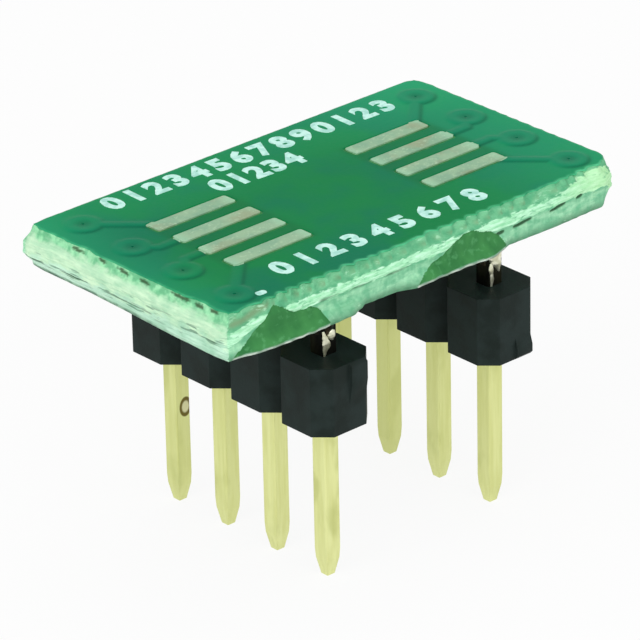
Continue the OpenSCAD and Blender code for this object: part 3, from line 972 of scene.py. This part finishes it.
bright = Paint("bright_solder", 0.3, Metallic=0.8, Specular_IOR_Level=0.06)
solder_cloud = bright.noise(3, 3).between(0.35, 0.65)
bright.set("Base Color", bright.mix((200, 200, 168), (238, 238, 214), solder_cloud))
bright.bump(solder_cloud, 0.004)

# Painted shade: the solder under the board at the front is nearly black; right of x = 3.56 mm it keeps its
# bright metal.
shaded_solder = Paint("solder_in_shade", 0.4, Specular_IOR_Level=0.05)
shade_cloud = shaded_solder.noise(4, 3).between(0.35, 0.65)
unshaded = shaded_solder.place(0).between(3.48, 3.56)
shaded_solder.set("Base Color", shaded_solder.coats((24, 24, 16), ((58, 50, 36), shade_cloud), ((226, 226, 198), unshaded)))
shaded_solder.set("Metallic", unshaded * 0.7)
shaded_solder.bump(shade_cloud, 0.006)

moulding = Paint("black_moulding", 0.5, Specular_IOR_Level=0.08)
plastic_cloud = moulding.noise(1.1, 3).between(0.35, 0.65)
moulding.set("Base Color", moulding.mix((27, 36, 33), (37, 47, 45), plastic_cloud))
moulding.set("Roughness", 0.44 + plastic_cloud * 0.14)
moulding.bump(moulding.noise(14, 3), 0.005)


def dress(names, paint):
    """Gives nodes of the frame their paint."""
    for name in names:
        nodes[name].data.materials.clear()
        nodes[name].data.materials.append(paint.material)
    print(paint.material.name, "on", len(names), "nodes")


for start, paint in (("net", tin), ("pin", gilt), ("solder", bright)):
    dress([name for name in nodes if name.startswith(start)], paint)
dress(("solder_4", "solder_5"), shaded_solder)

# %% [markdown]
# The two front joints were made with a little too much solder: it ran down the front of each pin. A
# run is a flat drop along a line down the pin's front face. Its cross-section is an ellipse whose
# half width swells and shrinks along the line, and half of it lies inside the pin.

# %% Runs of solder on the front pins
FRONT = -1.5 * PITCH - 0.32


def run_down(levels, middles, widths, thick, seed):
    """One run: its middle and its half width at each height lie on straight lines between the given
    ones, and its edge wanders. The first and last rings are closed by flat caps."""
    z = np.linspace(levels[0], levels[-1], 30)
    order = np.argsort(levels)
    middle, width = (np.interp(z, *np.array((levels, given))[:, order]) for given in (middles, widths))
    width = width * (1 + 0.18 * wander(z / 0.12, 0 * z, seed, 2))
    turn = np.linspace(0, 2 * np.pi, 20, endpoint=False)
    x = middle[:, None] + width[:, None] * np.cos(turn)
    depth = thick * np.sqrt(width / max(widths))
    y = FRONT - depth[:, None] * np.sin(turn)
    points = np.stack((x, y, z[:, None] + 0 * x), -1).reshape(-1, 3)
    return points, tube_faces(30, 20)


LEFT_DROP = run_down((9.24, 9.16, 9.03, 8.9, 8.82), (-3.73, -3.73, -3.73, -3.72, -3.71),
                     (0.04, 0.15, 0.19, 0.14, 0.03), 0.07, 81)
LEFT_TONGUE = run_down((9.25, 9.0, 8.8, 8.62, 8.55, 8.45, 8.25),
                       (-4.09, -4.02, -3.96, -3.94, -4.0, -4.03, -4.07),
                       (0.04, 0.10, 0.17, 0.19, 0.12, 0.08, 0.02), 0.05, 82)
RIGHT_FILLET = run_down((9.75, 9.5, 9.2, 9.0, 8.8), (3.76, 3.78, 3.82, 3.9, 3.96),
                        (0.28, 0.28, 0.24, 0.15, 0.04), 0.09, 83)
RIGHT_TONGUE = run_down((9.2, 9.0, 8.8, 8.6, 8.4, 8.16), (3.60, 3.60, 3.62, 3.64, 3.62, 3.60),
                        (0.05, 0.10, 0.08, 0.10, 0.05, 0.01), 0.05, 84)
runs = joined((LEFT_DROP, LEFT_TONGUE, RIGHT_FILLET, RIGHT_TONGUE))
settle(make_piece("solder_runs", *runs, bright), "solder")

# %% [markdown]
# The strips are moulded, so no edge on them is sharp. Each is a merged copy of its solid with a
# small bevel on every edge that turns by more than 25 degrees.

# %% Soften the strips
for name in ("strip_left", "strip_right"):
    work = bmesh.new()
    work.from_mesh(nodes[name].data)
    bmesh.ops.remove_doubles(work, verts=work.verts, dist=1e-7)
    bmesh.ops.dissolve_limit(work, angle_limit=np.radians(1), verts=work.verts, edges=work.edges)
    copy = bpy.data.meshes.new(name + "_soft")
    work.to_mesh(copy)
    work.free()
    copy.materials.clear()
    copy.materials.append(moulding.material)
    strip = placed(name + "_soft", copy)
    bevel = strip.modifiers.new("soft_edges", "BEVEL")
    bevel.width, bevel.segments = 0.04 * MM, 2
    bevel.limit_method, bevel.angle_limit = "ANGLE", np.radians(25)
    copy.shade_smooth()
    normals = strip.modifiers.new("flat_faces", "WEIGHTED_NORMAL")
    normals.keep_sharp = True
    settle(strip, "strip_plastic", name)
